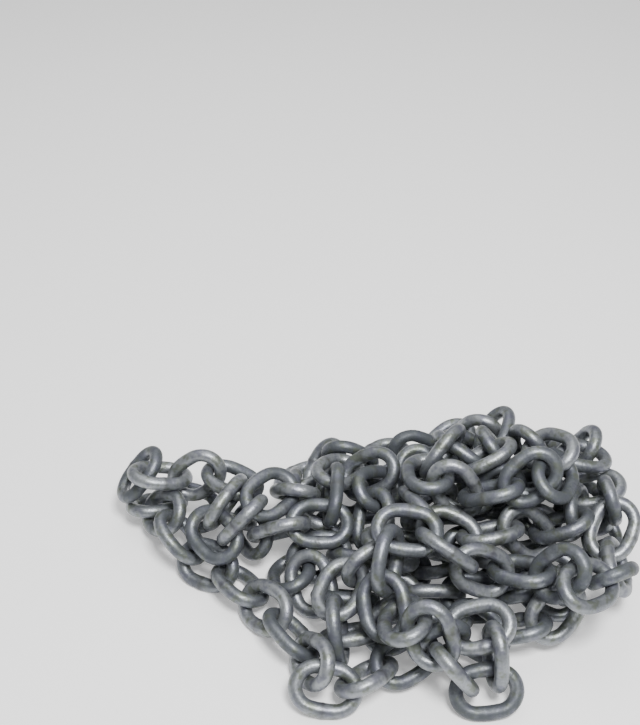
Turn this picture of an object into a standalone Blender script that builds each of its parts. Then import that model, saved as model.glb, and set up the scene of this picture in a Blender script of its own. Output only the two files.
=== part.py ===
# Heap of short-link anchor chain: one length of galvanised chain as it lies on a level floor
# after it was let down by hand. The outboard end is under the heap, the inboard end at the far left.
import math

import bmesh
import bpy
import numpy as np
from mathutils import Matrix

MM = 0.001

# Driving dimensions, millimetres
WIRE = 7.1
PITCH = 24.0
INNER_WIDTH = 12.0
BEND = (INNER_WIDTH + WIRE) / 2
HALF_SIDE = (PITCH - INNER_WIDTH) / 2
LINKS = 135

# Nodes between the two end links: runs of two or three links each
RUNS = 55

# Wire section and bends as built: six flats round the wire, four facets in each bend
SECTION_SIDES = 6
SECTION_RADIUS = 3.6
SECTION_FLAT = SECTION_RADIUS * math.cos(math.pi / SECTION_SIDES)
BEND_STEPS = 4
BEND_BULGE = 1.07
SMOOTH_BELOW = 70

# Block that joins the links of a run where they bear on each other
SADDLE = 3.6
SADDLE_SEARCH = 8

# Distances between wire centre lines: a link hanging in the last one, and links lying together
BEARING = 7.5
CLEAR = 8.0

# Limits of one link against the last, degrees
MOST_BEND = 90
MOST_ROLL = 42

# Plan view of the way the chain was flaked down, millimetres: the advance wanted of each link,
# then the points passed on the way
STRANDS = (
    (22, ((20, 46), (-28, 36), (-44, 16), (-15, 8), (20, 8), (55, 8), (90, 10), (104, 28),
          (70, 28), (35, 28), (20, 46), (42, 58), (70, 58), (96, 54), (114, 42), (120, 22),
          (118, 2), (104, -16), (66, -14), (25, -14), (-15, -14), (-46, -14), (-50, -34),
          (-15, -38), (25, -38), (66, -38), (96, -46), (54, -58), (12, -60), (-28, -62))),
    (20, ((-24, -44), (0, -26), (-10, -4), (2, 18), (-14, 30), (-32, 24), (-30, 4))),
    (24, ((-44, -4), (-62, -6), (-76, 6), (-88, 20), (-104, 26), (-120, 34), (-136, 38),
          (-136, 24), (-120, 12))),
    (22, ((-112, -4), (-98, -14), (-86, -28), (-70, -38), (-60, -54), (-46, -66), (-32, -78),
          (-12, -86), (4, -74), (22, -62), (42, -68), (52, -84), (46, -98), (32, -93),
          (20, -78), (0, -60))),
    (22, ((-8, -42), (4, -28), (26, -40), (46, -44), (66, -42), (90, -54), (112, -50),
          (123, -30), (126, -10), (126, 10))),
    (20, ((112, 24), (108, 2), (88, -8), (64, -14), (42, -20), (20, -12), (18, 8), (40, 14),
          (62, 16), (84, 18), (104, 16), (116, 32), (122, 28), (116, 44), (100, 50), (86, 38),
          (94, 22), (92, 2), (72, -4), (50, -2), (30, 4), (22, 20), (40, 32), (62, 26),
          (76, 38), (78, 50), (62, 56), (44, 50), (26, 42), (10, 46), (-4, 38))),
    (24, ((-18, 30), (-34, 24), (-50, 12), (-66, 2), (-84, -6), (-98, -2), (-94, 11), (-78, 20),
          (-92, 28), (-109, 29), (-127, 30), (-144, 32))),
)

# Zinc: middle grey, and how far it varies along the chain
ZINC_GREY = 0.21
ZINC_VARIES = 0.02

# How a place for a link is judged: height, distance off the way, advance missed, roll
HEIGHT_COST = 1.0
SIDE_COST = 1.4
ADVANCE_COST = 0.9
ROLL_COST = 0.03
HEAPS_KEPT = 16
PLACES_KEPT = 3


def cross(a, b):
    return np.stack([a[..., 1] * b[..., 2] - a[..., 2] * b[..., 1],
                     a[..., 2] * b[..., 0] - a[..., 0] * b[..., 2],
                     a[..., 0] * b[..., 1] - a[..., 1] * b[..., 0]], -1)


def ring_plan(bulge, steps, side_steps):
    # Centre line of one link in its own plane: x along the link, y across it
    plan = []
    for end in (1, -1):
        for k in range(steps + 1):
            turn = math.pi * (k / steps - 0.5)
            reach = BEND * (bulge if 0 < k < steps else 1.0)
            plan.append((end * (HALF_SIDE + reach * math.cos(turn)), end * reach * math.sin(turn)))
        for k in range(1, side_steps):
            plan.append((end * HALF_SIDE * (1 - 2 * k / side_steps), end * BEND))
    return np.array(plan)


FACETS = ring_plan(BEND_BULGE, BEND_STEPS, 1)
PROBES = ring_plan(1.0, 9, 4)


def way():
    # Smooth curve through the points, with the advance wanted beside each place on it
    rows = [(x, y, advance) for advance, points in STRANDS for x, y in points]
    rows = np.array(rows, float)
    rows = np.vstack([2 * rows[0] - rows[1], rows, 2 * rows[-1] - rows[-2]])
    out = []
    for a, b, c, d in zip(rows, rows[1:], rows[2:], rows[3:]):
        steps = max(2, int(math.hypot(c[0] - b[0], c[1] - b[1]) / 4))
        for k in range(steps):
            t = k / steps
            q = 2 * b + (c - a) * t + (2 * a - 5 * b + 4 * c - d) * t ** 2
            q = (q + (3 * b - a - 3 * c + d) * t ** 3) / 2
            out.append((q[0], q[1], b[2]))
    out.append(tuple(rows[-2]))
    return np.array(out)


def turns(bend, bend_step, roll, roll_step):
    # Every mix of the two bends and the roll, radians
    bends = np.arange(-bend, bend + 0.1, bend_step)
    rolls = np.arange(-roll, roll + 0.1, roll_step)
    mixes = np.meshgrid(bends, bends, rolls, indexing="ij")
    return np.radians(np.stack([m.ravel() for m in mixes], 1))


COARSE_TURNS = turns(MOST_BEND, 15, 39, 13)
DENSE_TURNS = turns(MOST_BEND, 10, MOST_ROLL, 6)
SMALL_TURNS = turns(6, 6, 6, 6)
MOST_TURNS = np.radians([MOST_BEND, MOST_BEND, MOST_ROLL])


def hang(link, angles):
    # Places of a link hung in the last one: bent in the last link's plane, rolled, bent in its own
    centre, along, across, normal = link
    cos, sin = np.cos(angles), np.sin(angles)
    pull = cos[:, :1] * along + sin[:, :1] * across
    beside = cos[:, :1] * across - sin[:, :1] * along
    upright = cos[:, 2:] * normal + sin[:, 2:] * beside
    spare = BEND * (1 - np.abs(sin[:, 2:]))
    drawn = np.where(spare > BEARING, BEARING, (BEARING ** 2 + spare ** 2) / (2 * spare))
    new_along = cos[:, 1:2] * pull - sin[:, 1:2] * upright
    new_across = sin[:, 1:2] * pull + cos[:, 1:2] * upright
    new_centre = centre + HALF_SIDE * along + (2 * BEND - drawn) * pull + HALF_SIDE * new_along
    return new_centre, new_along, new_across


def rings(plan, centre, along, across):
    out = centre[:, None, :] + plan[None, :, :1] * along[:, None, :]
    return out + plan[None, :, 1:] * across[:, None, :]


def distance(points, link):
    # Least distance of each set of points from the centre line of a laid link
    centre, along, across, normal = link
    from_centre = points - centre
    beyond = np.maximum(np.abs(from_centre @ along) - HALF_SIDE, 0)
    flat = np.hypot(beyond, from_centre @ across) - BEND
    return np.sqrt((flat ** 2 + (from_centre @ normal) ** 2).min(1))


def judge(angles, heap, others, span, advance, enough):
    # Cost of each place, and a very large one where the link would foul
    centre, along, across = hang(heap[-1], angles)
    head = centre + HALF_SIDE * along
    off = np.hypot(head[:, :1] - span[:, 0], head[:, 1:2] - span[:, 1])
    nearest = off.argmin(1)
    side = off[np.arange(len(off)), nearest]
    cost = HEIGHT_COST * centre[:, 2] + SIDE_COST * side
    cost += ADVANCE_COST * np.abs(4.0 * nearest - advance)
    cost += ROLL_COST * np.degrees(np.abs(angles[:, 2]))
    cost = np.round(cost, 5)
    lowest = centre[:, 2] + (FACETS[None, :, 0] * along[:, 2:] + FACETS[None, :, 1] * across[:, 2:]).min(1)
    flatness = np.abs(along[:, 0] * across[:, 1] - along[:, 1] * across[:, 0])
    room = head[:, 2] - SECTION_RADIUS - 0.75 * BEND * flatness
    free = np.nonzero((lowest >= SECTION_RADIUS) & (room >= 0))[0]
    free = free[np.argsort(cost[free], kind="stable")]
    out = np.full(len(angles), 1e9)
    found = 0
    for first in range(0, len(free), 120):
        some = free[first:first + 120]
        points = rings(PROBES, centre[some], along[some], across[some])
        clear = distance(points, heap[-1]) >= BEARING - 0.1
        for other in others:
            near = clear & (((centre[some] - other[0]) ** 2).sum(1) < (2 * (HALF_SIDE + BEND) + CLEAR) ** 2)
            near = np.nonzero(near)[0]
            if len(near):
                clear[near] = distance(points[near], other) >= CLEAR
            if not clear.any():
                break
        some = some[clear]
        out[some] = cost[some]
        found += len(some)
        if found >= enough:
            break
    return out, centre, along, across


def squared(centre, along, across):
    along = along / math.sqrt(along @ along)
    across = across - (across @ along) * along
    across = across / math.sqrt(across @ across)
    return centre, along, across, cross(along, across)


def next_links(heap, others, span, advance, most):
    # The best few different places for the next link of one heap
    angles = COARSE_TURNS
    cost, centre, along, across = judge(angles, heap, others, span, advance, 30)
    if (cost < 1e8).sum() < 3:
        angles = DENSE_TURNS
        cost, centre, along, across = judge(angles, heap, others, span, advance, 30)
    picked = []
    for k in np.argsort(cost, kind="stable")[:150]:
        if cost[k] >= 1e8 or len(picked) >= most:
            break
        if all(np.abs(centre[k] - centre[j]).max() > 3 or abs(across[k] @ across[j]) < 0.9
               for j in picked):
            picked.append(k)
    out = []
    for k in picked:
        best = (cost[k], squared(centre[k], along[k], across[k]), angles[k])
        for size in (1.0, 0.5, 0.2):
            trial = np.clip(best[2] + SMALL_TURNS * size, -MOST_TURNS, MOST_TURNS)
            costs, centres, alongs, acrosses = judge(trial, heap, others, span, advance, 1000)
            m = int(costs.argmin())
            if costs[m] < best[0]:
                best = (costs[m], squared(centres[m], alongs[m], acrosses[m]), trial[m])
        out.append((best[0], best[1]))
    return out


def lay_chain():
    # The chain is let down link by link, several heaps side by side, and the best is kept
    path = way()
    start = path[4, :2] - path[0, :2]
    start = start / np.hypot(start[0], start[1])
    along = np.array([start[0], start[1], 0.0])
    across = np.array([0.0, 0.0, 1.0])
    centre = np.array([path[0, 0], path[0, 1], BEND + SECTION_FLAT])
    heaps = [(0.0, [(centre, along, across, cross(along, across))], 0)]
    for _ in range(1, LINKS):
        grown = []
        for total, heap, at in heaps:
            centre, along = heap[-1][:2]
            head = centre + HALF_SIDE * along
            gaps = np.hypot(path[at:at + 8, 0] - head[0], path[at:at + 8, 1] - head[1])
            here = at + int(gaps.argmin())
            reach = 4 * (HALF_SIDE + BEND) + CLEAR
            others = [o for o in heap[:-1] if ((o[0] - centre) ** 2).sum() < reach ** 2]
            for cost, link in next_links(heap, others, path[here:here + 10], path[here, 2], PLACES_KEPT):
                grown.append((total + cost, heap + [link], here))
        grown.sort(key=lambda g: g[0])
        heaps = []
        for g in grown:
            twin = any(np.abs(h[1][-1][0] - g[1][-1][0]).max() < 4
                       and abs(h[1][-1][2] @ g[1][-1][2]) > 0.9 for h in heaps)
            if not twin:
                heaps.append(g)
            if len(heaps) >= HEAPS_KEPT:
                break
    return heaps[0][1]


def link_mesh():
    # One link lying flat round its own middle: wire spun round both bends, bridged along the sides
    bm = bmesh.new()
    across_wire = Matrix.Rotation(math.pi / 2, 4, "Z") @ Matrix.Rotation(math.pi / 2, 4, "X")
    start = Matrix.Translation((HALF_SIDE * MM, -BEND * MM, 0))
    bmesh.ops.create_circle(bm, segments=SECTION_SIDES, radius=SECTION_RADIUS * MM,
                            matrix=start @ across_wire)
    bmesh.ops.spin(bm, geom=bm.verts[:] + bm.edges[:], cent=(HALF_SIDE * MM, 0, 0), axis=(0, 0, 1),
                   angle=math.pi, steps=BEND_STEPS)
    stand_proud(bm)
    other_end = bmesh.ops.duplicate(bm, geom=bm.verts[:] + bm.edges[:] + bm.faces[:])["geom"]
    bmesh.ops.rotate(bm, cent=(0, 0, 0), matrix=Matrix.Rotation(math.pi, 3, "Z"),
                     verts=[item for item in other_end if isinstance(item, bmesh.types.BMVert)])
    for side in (1, -1):
        rims = [edge for edge in bm.edges if edge.is_boundary and edge.verts[0].co.y * side > 0]
        bmesh.ops.bridge_loops(bm, edges=rims)
    bmesh.ops.recalc_face_normals(bm, faces=bm.faces)
    mesh = bpy.data.meshes.new("link")
    bm.to_mesh(mesh)
    bm.free()
    shade_round(mesh)
    return mesh


def stand_proud(bm):
    # Rings inside the bend stand a little proud, so that the flats between them keep to the bend
    for vert in bm.verts:
        out = vert.co.x - HALF_SIDE * MM
        if out > 0.01 * MM:
            radius = math.hypot(out, vert.co.y)
            proud = 1 + BEND * MM * (BEND_BULGE - 1) / radius
            vert.co.x = HALF_SIDE * MM + out * proud
            vert.co.y *= proud


def saddle_mesh(length):
    bm = bmesh.new()
    size = Matrix.Diagonal((SADDLE * MM, SADDLE * MM, length * MM, 1))
    bmesh.ops.create_cube(bm, size=1, matrix=size)
    mesh = bpy.data.meshes.new("saddle")
    bm.to_mesh(mesh)
    bm.free()
    return mesh


def shade_round(mesh):
    mesh.shade_smooth()
    mesh.set_sharp_from_angle(angle=math.radians(SMOOTH_BELOW))


def add(name, mesh, place, material):
    # An object of that mesh, put where the length of chain has it
    centre, along, across, normal = place
    piece = bpy.data.objects.new(name, mesh)
    bpy.context.scene.collection.objects.link(piece)
    piece.location = [value * MM for value in centre]
    piece.rotation_euler = Matrix((along, across, normal)).transposed().to_euler()
    if material:
        mesh.materials.clear()
        mesh.materials.append(material)
    return piece


def add_helper(name, mesh, place):
    piece = add(name, mesh, place, None)
    piece.hide_render = True
    piece.display_type = "WIRE"
    return piece


def wire_points(link):
    # Places close together along the centre line of one link
    ends = np.roll(FACETS, -1, axis=0)
    parts = [FACETS + (ends - FACETS) * k / SADDLE_SEARCH for k in range(SADDLE_SEARCH)]
    plan = np.concatenate(parts)
    centre, along, across = link[:3]
    return centre + plan[:, :1] * along + plan[:, 1:] * across


def bearing_place(first, second):
    # Where two links bear on each other: the middle, and axes with the third from wire to wire
    a, b = wire_points(first), wire_points(second)
    apart = ((a[:, None] - b[None, :]) ** 2).sum(2)
    i, j = np.unravel_index(int(np.round(apart, 5).argmin()), apart.shape)
    through = b[j] - a[i]
    length = math.sqrt(through @ through)
    through = through / length
    beside = first[3] - (first[3] @ through) * through
    beside = beside / math.sqrt(beside @ beside)
    return ((a[i] + b[j]) / 2, cross(beside, through), beside, through), length


def join(piece, helper):
    union = piece.modifiers.new(helper.name, "BOOLEAN")
    union.operation = "UNION"
    union.solver = "EXACT"
    union.object = helper


def zinc(name, step):
    # Hot-dip zinc gone dull, a shade lighter or darker from place to place along the chain
    shade = ZINC_GREY + ZINC_VARIES * math.sin(2.4 * step)
    colour = (0.97 * shade, shade, 1.04 * shade, 1)
    material = bpy.data.materials.new(name)
    material.use_nodes = True
    shader = material.node_tree.nodes["Principled BSDF"]
    shader.inputs["Base Color"].default_value = colour
    shader.inputs["Metallic"].default_value = 0.8
    shader.inputs["Roughness"].default_value = 0.45
    material.diffuse_color = colour
    return material


def centred(links):
    # Moves the heap along the floor until its box stands on the origin
    mesh = link_mesh()
    corners = np.array([vert.co[:] for vert in mesh.vertices]) / MM
    bpy.data.meshes.remove(mesh)
    places = [link[0] + corners @ np.array(link[1:]) for link in links]
    places = np.concatenate(places)
    shift = (places.min(0) + places.max(0)) / 2
    shift[2] = 0
    return [(link[0] - shift, *link[1:]) for link in links]


def model():
    for old in list(bpy.data.objects):
        bpy.data.objects.remove(old)
    links = centred(lay_chain())
    add("outboard_end_link", link_mesh(), links[0], zinc("outboard_end_link", 0))
    starts = [1 + round(k * (LINKS - 2) / RUNS) for k in range(RUNS + 1)]
    for number, (start, stop) in enumerate(zip(starts, starts[1:]), 1):
        name = f"link_run_{number:02d}"
        run = add(name, link_mesh(), links[start], zinc(name, number))
        for k in range(start + 1, stop):
            place, length = bearing_place(links[k - 1], links[k])
            join(run, add_helper(f"{name}_saddle_{k - start}", saddle_mesh(length), place))
            join(run, add_helper(f"{name}_link_{k - start + 1}", link_mesh(), links[k]))
    add("inboard_end_link", link_mesh(), links[-1], zinc("inboard_end_link", LINKS))


model()
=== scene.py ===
# Heap of galvanised short-link chain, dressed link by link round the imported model
import math

import bpy
import numpy as np
from mathutils import Matrix, Vector


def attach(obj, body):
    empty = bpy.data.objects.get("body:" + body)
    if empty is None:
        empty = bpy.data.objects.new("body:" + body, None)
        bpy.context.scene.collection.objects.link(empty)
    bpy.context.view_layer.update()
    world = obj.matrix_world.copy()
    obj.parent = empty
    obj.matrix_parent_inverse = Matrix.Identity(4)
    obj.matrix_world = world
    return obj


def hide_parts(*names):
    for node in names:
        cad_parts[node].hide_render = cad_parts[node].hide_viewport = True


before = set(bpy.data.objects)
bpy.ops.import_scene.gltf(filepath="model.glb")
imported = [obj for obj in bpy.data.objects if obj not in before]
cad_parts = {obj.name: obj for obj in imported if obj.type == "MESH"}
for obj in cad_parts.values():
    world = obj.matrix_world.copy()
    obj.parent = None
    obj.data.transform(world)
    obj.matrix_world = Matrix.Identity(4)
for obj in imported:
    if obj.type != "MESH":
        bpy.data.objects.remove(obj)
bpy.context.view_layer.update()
print("frame loaded,", len(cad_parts), "nodes")

mm = 0.001

# The photograph's viewpoint: in front of the heap, looking down on it
viewpoint = {
    "place": (-0.0282, -0.4350, 0.4974),  # metres
    "lookDown": 38.5,  # degrees below level
    "focalPixels": 1138,
    "longSidePixels": 725,
    "filmWidth": 36,  # millimetres
    "nearest": 0.01,
}


def addCamera():
    tilt = math.radians(90 - viewpoint["lookDown"])
    bpy.ops.object.camera_add(location=viewpoint["place"], rotation=(tilt, 0, 0))
    camera = bpy.context.object
    camera.name = "photoCamera"
    film = viewpoint["filmWidth"]
    camera.data.sensor_width = film
    camera.data.lens = film * viewpoint["focalPixels"] / viewpoint["longSidePixels"]
    camera.data.clip_start = viewpoint["nearest"]
    bpy.context.scene.camera = camera


# Soft light from two panels in a dim room: the main one is high up, above the camera
studio = {
    "roomBrightness": 0.43,
    "mainWatts": 20.5,
    "mainSize": 0.30,
    "mainPlace": (0.16, -0.42, 1.05),  # metres
    "fillWatts": 4.5,
    "fillSize": 0.9,
    "fillPlace": (-0.15, 0.45, 0.95),  # behind the heap
    "floorSize": 30.0,
    "floorGrey": 0.90,
    "floorRoughness": 0.75,
    "floorGlow": 0.25,  # keeps the floor pale in the dim room
}


def addStudio():
    world = bpy.data.worlds.new("paleRoom")
    bpy.context.scene.world = world
    world.use_nodes = True
    background = world.node_tree.nodes["Background"]
    background.inputs["Color"].default_value = (1, 1, 1, 1)
    background.inputs["Strength"].default_value = studio["roomBrightness"]
    for name in ("main", "fill"):
        place = Vector(studio[name + "Place"])
        turn = place.to_track_quat("Z", "Y").to_euler()  # faces the heap at the origin
        bpy.ops.object.light_add(type="AREA", location=place, rotation=turn)
        panel = bpy.context.object
        panel.name = name + "Panel"
        panel.data.energy = studio[name + "Watts"]
        panel.data.size = studio[name + "Size"]


def addFloor():
    bpy.ops.mesh.primitive_plane_add(size=studio["floorSize"])
    floor = bpy.context.object
    floor.name = "paleFloor"
    paint = Paint("paleFloor")
    paint.surface({
        "Base Color": (studio["floorGrey"],) * 3,
        "Roughness": studio["floorRoughness"],
        "Emission Color": (1, 1, 1),
        "Emission Strength": studio["floorGlow"],
    })
    floor.data.materials.append(paint.material)


class Value:
    # A number that varies over the surface: a sum with it adds a Math node
    def __init__(self, paint, socket):
        self.paint = paint
        self.socket = socket

    def sum(self, operation, first, second):
        return self.paint.node("Math", {"operation": operation}, {0: first, 1: second})["Value"]

    def __add__(self, other):
        return self.sum("ADD", self, other)

    def __sub__(self, other):
        return self.sum("SUBTRACT", self, other)

    def __rsub__(self, other):
        return self.sum("SUBTRACT", other, self)

    def __mul__(self, other):
        return self.sum("MULTIPLY", self, other)

    __radd__ = __add__
    __rmul__ = __mul__


class Paint:
    # One material and its nodes
    def __init__(self, name):
        self.material = bpy.data.materials.new(name)
        self.material.use_nodes = True
        self.tree = self.material.node_tree
        self.shader = self.tree.nodes["Principled BSDF"]

    def node(self, kind, settings=None, inputs=None):
        made = self.tree.nodes.new("ShaderNode" + kind)
        for name, value in (settings or {}).items():
            setattr(made, name, value)
        for name, value in (inputs or {}).items():
            self.feed(made.inputs[name], value)
        # Where outputs share a name, the first is the one that is kept
        return {socket.name: Value(self, socket)
                for socket in reversed(made.outputs) if socket.enabled}

    def feed(self, socket, value):
        if isinstance(value, Value):
            self.tree.links.new(value.socket, socket)
        elif isinstance(value, tuple) and len(value) == 3 and socket.type == "RGBA":
            socket.default_value = (*value, 1)
        else:
            socket.default_value = value

    def surface(self, inputs):
        for name, value in inputs.items():
            self.feed(self.shader.inputs[name], value)

    def noise(self, place, scale, detail, roughness):
        return self.node("TexNoise", {}, {"Vector": place, "Scale": scale, "Detail": detail,
                                          "Roughness": roughness})["Fac"]

    def bump(self, relief, height, strength, under=None):
        return self.node("Bump", {}, {"Height": relief, "Distance": height,
                                      "Strength": strength, **(under or {})})["Normal"]

    def mark(self, name):
        return self.node("Attribute", {"attribute_name": name})["Fac"]

    def spread(self, value, low, high):
        # The stretch of a value from low to high, drawn out to 0 to 1
        return self.node("MapRange", {"clamp": True, "interpolation_type": "SMOOTHSTEP"},
                         {"Value": value, "From Min": low, "From Max": high})["Result"]

    def blend(self, factor, first, second):
        # Mix has a pair of sockets for each kind of data, so they go by number
        return self.node("Mix", {"data_type": "RGBA"}, {0: factor, 6: first, 7: second})["Result"]


# Hot-dip zinc gone dull, in linear colours
zinc = {
    "dark": (0.044, 0.050, 0.056),
    "middle": (0.122, 0.134, 0.150),
    "light": (0.27, 0.285, 0.30),
    "olive": (0.112, 0.128, 0.082),
    "violet": (0.118, 0.120, 0.165),
    "weldScale": (0.062, 0.062, 0.060),
    "rubbed": (0.32, 0.33, 0.34),
    # Patterns: scale in repeats to the metre, detail and roughness
    "mottle": (75, 4.0, 0.6),
    "speckle": (620, 3.0, 0.6),
    "grain": (2600, 2.0, 0.5),
    "tint": (165, 2.0, 0.6),
    # What makes each patch, and the span over which it comes in
    "brightShares": (0.55, 0.35, 0.34),  # of mottle, speckle and the link's own tone
    "brightSpan": (0.40, 0.88),
    "dullTone": 0.35,
    "dullSpan": (0.35, 0.62),
    "rubShares": (0.6, 0.8),  # even rubbing, and rubbing that goes with the speckle
    "rubSpan": (0.45, 0.9),
    "tintSpan": (0.52, 0.66),
    # How much each patch covers
    "tintCover": 0.6,
    "dullCover": 0.75,
    "weldCover": 0.55,
    "rubCover": 0.5,
    # Relief in metres, and shine
    "lumpHeight": 0.00025,
    "lumpStrength": 0.75,
    "grainHeight": 0.00003,
    "grainStrength": 0.6,
    "metallic": 0.72,
    "dullLosesMetal": 0.30,
    "roughness": 0.33,
    "grainRoughens": 0.16,
    "dullRoughens": 0.18,
    "rubSmooths": 0.10,
}


def paintZinc():
    paint = Paint("galvanisedZinc")
    place = paint.node("TexCoord")["Object"]
    tone = paint.mark("linkTone")
    mottle = paint.noise(place, *zinc["mottle"])
    speckle = paint.noise(place, *zinc["speckle"])
    grain = paint.noise(place, *zinc["grain"])
    tint = paint.noise(place, *zinc["tint"])

    ofMottle, ofSpeckle, ofTone = zinc["brightShares"]
    bright = ofMottle * mottle + ofSpeckle * speckle + ofTone * tone
    bright = paint.spread(bright, *zinc["brightSpan"])
    dull = paint.spread(1 - mottle - zinc["dullTone"] * tone, *zinc["dullSpan"])
    even, speckled = zinc["rubShares"]
    rubbed = paint.mark("rubMark") * (even + speckled * speckle)
    rubbed = paint.spread(rubbed, *zinc["rubSpan"])
    olive = paint.spread(tint, *zinc["tintSpan"])
    violet = paint.spread(1 - tint, *zinc["tintSpan"])

    colour = paint.blend(bright, zinc["middle"], zinc["light"])
    colour = paint.blend(olive * zinc["tintCover"], colour, zinc["olive"])
    colour = paint.blend(violet * zinc["tintCover"], colour, zinc["violet"])
    colour = paint.blend(dull * zinc["dullCover"], colour, zinc["dark"])
    colour = paint.blend(paint.mark("weldMark") * zinc["weldCover"], colour, zinc["weldScale"])
    colour = paint.blend(rubbed * zinc["rubCover"], colour, zinc["rubbed"])
    roughness = (zinc["roughness"] + zinc["grainRoughens"] * grain
                 + zinc["dullRoughens"] * dull - zinc["rubSmooths"] * rubbed)
    lumps = paint.bump(speckle, zinc["lumpHeight"], zinc["lumpStrength"])
    bumps = paint.bump(grain, zinc["grainHeight"], zinc["grainStrength"], {"Normal": lumps})
    paint.surface({
        "Base Color": colour,
        "Metallic": zinc["metallic"] - zinc["dullLosesMetal"] * dull,
        "Roughness": roughness,
        "Normal": bumps,
    })
    return paint.material


# One link: round wire bent to an oval, with its weld in the middle of one side
link = {
    "wire": 7.5 * mm,
    "side": 12.0 * mm,
    "bend": 9.55 * mm,
    "roundSteps": 20,
    "bendSteps": 18,
    "sideSteps": 8,
    "bow": 1.2 * mm,  # how far the sides bow out
    "bowReach": 15 * mm,
    "weldSwell": 1.07,
    "weldRings": ((-1, 0.45), (0, 1.0), (1, 0.45)),  # ring beside the middle, share of the swell
    "weldLength": 2.2 * mm,
    "rubGrowth": 1.6,  # how soon the rubbing sets in round the bend
    "unevenness": 0.10 * mm,
    "waveSize": 5 * mm,
    "waveDepth": 1,
    "mergeWithin": 0.01 * mm,
    "atMiddle": 0.1 * mm,
    "seed": 11,
    "evenChance": 0.5,
}


def deselectAll():
    if bpy.context.object and bpy.context.object.mode != "OBJECT":
        bpy.ops.object.mode_set(mode="OBJECT")
    bpy.ops.object.select_all(action="DESELECT")


def selectWhere(piece, test):
    # Selects the vertices of the piece in edit mode whose place passes the test
    bpy.ops.mesh.select_mode(type="VERT")
    bpy.ops.mesh.select_all(action="DESELECT")
    bpy.ops.object.mode_set(mode="OBJECT")
    for vertex in piece.data.vertices:
        vertex.select = test(vertex.co)
    bpy.ops.object.mode_set(mode="EDIT")


def modelLink():
    deselectAll()
    half = link["side"] / 2
    bpy.ops.mesh.primitive_circle_add(vertices=link["roundSteps"], radius=link["wire"] / 2,
                                      location=(half, -link["bend"], 0),
                                      rotation=(0, math.pi / 2, 0))
    piece = bpy.context.object
    piece.name = "linkModel"
    bpy.ops.object.transform_apply(location=True, rotation=True, scale=True)
    bpy.ops.object.mode_set(mode="EDIT")
    bpy.ops.mesh.select_all(action="SELECT")
    step = link["side"] / link["sideSteps"]
    for end in (1, -1):
        bpy.ops.mesh.spin(steps=link["bendSteps"], angle=-math.pi, center=(end * half, 0, 0),
                          axis=(0, 0, 1))
        for _ in range(link["sideSteps"]):
            bpy.ops.mesh.extrude_edges_move(TRANSFORM_OT_translate={"value": (-end * step, 0, 0)})
    bpy.ops.mesh.select_all(action="SELECT")
    bpy.ops.mesh.remove_doubles(threshold=link["mergeWithin"])
    bowSides(piece)
    swellWeld(piece)
    bpy.ops.mesh.select_all(action="SELECT")
    bpy.ops.mesh.normals_make_consistent(inside=False)
    bpy.ops.object.mode_set(mode="OBJECT")
    bpy.ops.object.shade_smooth()
    return piece


def bowSides(piece):
    # The sides bow out smoothly, so that the link is a little oval
    for side in (1, -1):
        selectWhere(piece, lambda co: abs(co.x) < link["atMiddle"] and co.y * side > 0)
        bpy.ops.transform.translate(value=(0, side * link["bow"], 0), use_proportional_edit=True,
                                    proportional_edit_falloff="SMOOTH",
                                    proportional_size=link["bowReach"])


def swellWeld(piece):
    # The weld is a low swelling round the middle of one side
    step = link["side"] / link["sideSteps"]
    for ring, share in link["weldRings"]:
        x = ring * step
        size = 1 + (link["weldSwell"] - 1) * share
        selectWhere(piece, lambda co: abs(co.x - x) < step / 4 and co.y > 0)
        bpy.ops.transform.resize(value=(1, size, size),
                                 center_override=(x, link["bend"] + link["bow"], 0))


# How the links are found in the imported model: only their straight sides have edges this long
find = {
    "sideEdge": 12.0 * mm,
    "within": 0.02 * mm,
    "sameWay": 0.99995,  # least cosine between two edges of one link
    "reach": 28 * mm,  # most that their middles are apart
    "fewestEdges": 6,
}


def sideEdges(node):
    # Middles and directions of the long straight edges of a node, each once
    mesh = node.data
    places = np.array([vertex.co[:] for vertex in mesh.vertices])
    found = {}
    for edge in mesh.edges:
        start, stop = places[edge.vertices[0]], places[edge.vertices[1]]
        run = stop - start
        length = math.sqrt(run @ run)
        if abs(length - find["sideEdge"]) < find["within"]:
            middle = (start + stop) / 2
            run = run / length * (1 if run[np.abs(run).argmax()] > 0 else -1)
            found[tuple(np.round(middle / mm, 1))] = (middle, run)
    return [found[key] for key in sorted(found)]


def sortIntoLinks(edges):
    # Edges that run the same way and lie near each other belong to one link
    groups = []
    for middle, run in edges:
        for group in groups:
            away = middle - group[0][0]
            if run @ group[0][1] > find["sameWay"] and math.sqrt(away @ away) < find["reach"]:
                group.append((middle, run))
                break
        else:
            groups.append([(middle, run)])
    return [group for group in groups if len(group) >= find["fewestEdges"]]


def wireCentre(points):
    # Middle of the circle through the corners of the wire's section, in its own plane
    rows = np.c_[2 * points, np.ones(len(points))]
    answer = np.linalg.lstsq(rows, (points ** 2).sum(1), rcond=None)[0]
    return answer[:2]


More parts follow.
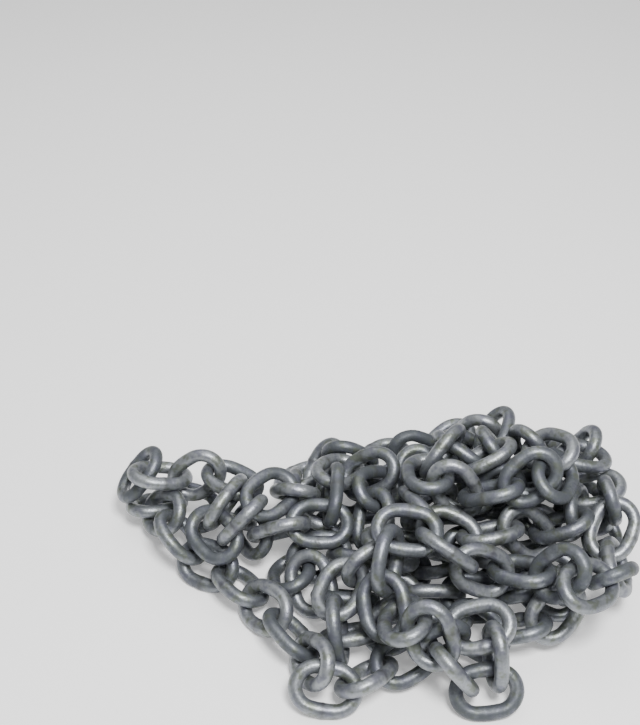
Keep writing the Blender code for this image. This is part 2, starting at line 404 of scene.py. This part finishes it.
def linkPlace(group):
    # Where one link lies, as a matrix: its length along X and its width along Y
    middles = np.array([middle for middle, _ in group])
    along = np.mean([run for _, run in group], axis=0)
    along = along / math.sqrt(along @ along)
    helper = np.eye(3)[np.abs(along).argmin()]
    flatX = np.cross(along, helper)
    flatX = flatX / math.sqrt(flatX @ flatX)
    flatY = np.cross(along, flatX)
    flat = np.c_[middles @ flatX, middles @ flatY]
    apart = ((flat[:, None] - flat[None]) ** 2).sum(2)
    first, second = np.unravel_index(apart.argmax(), apart.shape)
    nearFirst = apart[first] < apart[second]
    one, other = wireCentre(flat[nearFirst]), wireCentre(flat[~nearFirst])
    across = (one - other) @ np.array([flatX, flatY])
    gap = math.sqrt(across @ across)
    across = across / gap
    centre = (one + other) / 2 @ np.array([flatX, flatY]) + along * (middles @ along).mean()
    upright = np.cross(along, across)
    place = Matrix.Identity(4)
    for row in range(3):
        place[row][:] = (along[row], across[row], upright[row], centre[row])
    return place, gap


def layLinks(model, material):
    # Every node is dressed by one piece, made of a copy of the model for each of its links
    rng = np.random.default_rng(link["seed"])
    laid = 0
    widest = 0
    for name in sorted(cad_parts):
        groups = sortIntoLinks(sideEdges(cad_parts[name]))
        copies = []
        for group in groups:
            place, gap = linkPlace(group)
            widest = max(widest, abs(gap - 2 * link["bend"]))
            copies.append(copyLink(model, place, rng))
        piece = joinCopies(copies, name + "_galvanised")
        finishWire(piece)
        piece.data.materials.clear()
        piece.data.materials.append(material)
        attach(piece, "root")
        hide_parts(name)
        laid += len(copies)
    print("links laid:", laid, "worst misfit in mm:", round(widest / mm, 4))


def copyLink(model, place, rng):
    # A copy of the model with its own tone, its weld on either side, and marks for the paint
    mesh = model.data.copy()
    tone = rng.random()
    weldSide = 1 if rng.random() < link["evenChance"] else -1
    if weldSide < 0:
        mesh.transform(Matrix.Rotation(math.pi, 4, "Z"))
    for name, share in (("linkTone", lambda vertex: tone),
                        ("weldMark", lambda vertex: weldShare(vertex.co, weldSide)),
                        ("rubMark", rubShare)):
        marks = mesh.attributes.new(name, "FLOAT", "POINT")
        marks.data.foreach_set("value", [share(vertex) for vertex in mesh.vertices])
    mesh.transform(place)
    piece = bpy.data.objects.new("linkCopy", mesh)
    bpy.context.scene.collection.objects.link(piece)
    return piece


def weldShare(co, side):
    if co.y * side < 0:
        return 0.0
    return max(0.0, 1 - abs(co.x) / link["weldLength"])


def rubShare(vertex):
    # Most at the inside of the ends, where the next link hangs
    past = abs(vertex.co.x) - link["side"] / 2
    if past < 0:
        return 0.0
    inward = Vector((-math.copysign(1, vertex.co.x) * past, -vertex.co.y, 0)).normalized()
    return max(0.0, vertex.normal @ inward) * min(1.0, past / link["bend"] * link["rubGrowth"])


def joinCopies(copies, name):
    deselectAll()
    for copy in copies:
        copy.select_set(True)
    bpy.context.view_layer.objects.active = copies[0]
    if len(copies) > 1:
        bpy.ops.object.join()
    piece = bpy.context.object
    piece.name = name
    piece.data.name = name
    return piece


def finishWire(piece):
    # Zinc hangs a little unevenly on the wire
    waves = bpy.data.textures.get("zincWaves") or bpy.data.textures.new("zincWaves", "CLOUDS")
    waves.noise_scale = link["waveSize"]
    waves.noise_depth = link["waveDepth"]
    uneven = piece.modifiers.new("uneven", "DISPLACE")
    uneven.texture = waves
    uneven.texture_coords = "LOCAL"
    uneven.strength = link["unevenness"]
    uneven.mid_level = 0.5  # as much in as out
    bpy.ops.object.modifier_apply(modifier=uneven.name)
    for vertex in piece.data.vertices:
        vertex.co.z = max(vertex.co.z, 0)  # what lies on the floor stays above it


addCamera()
addStudio()
addFloor()
print("camera, light and floor ready")
zincMaterial = paintZinc()
model = modelLink()
print("link modelled,", len(model.data.vertices), "points")
layLinks(model, zincMaterial)
bpy.data.objects.remove(model)
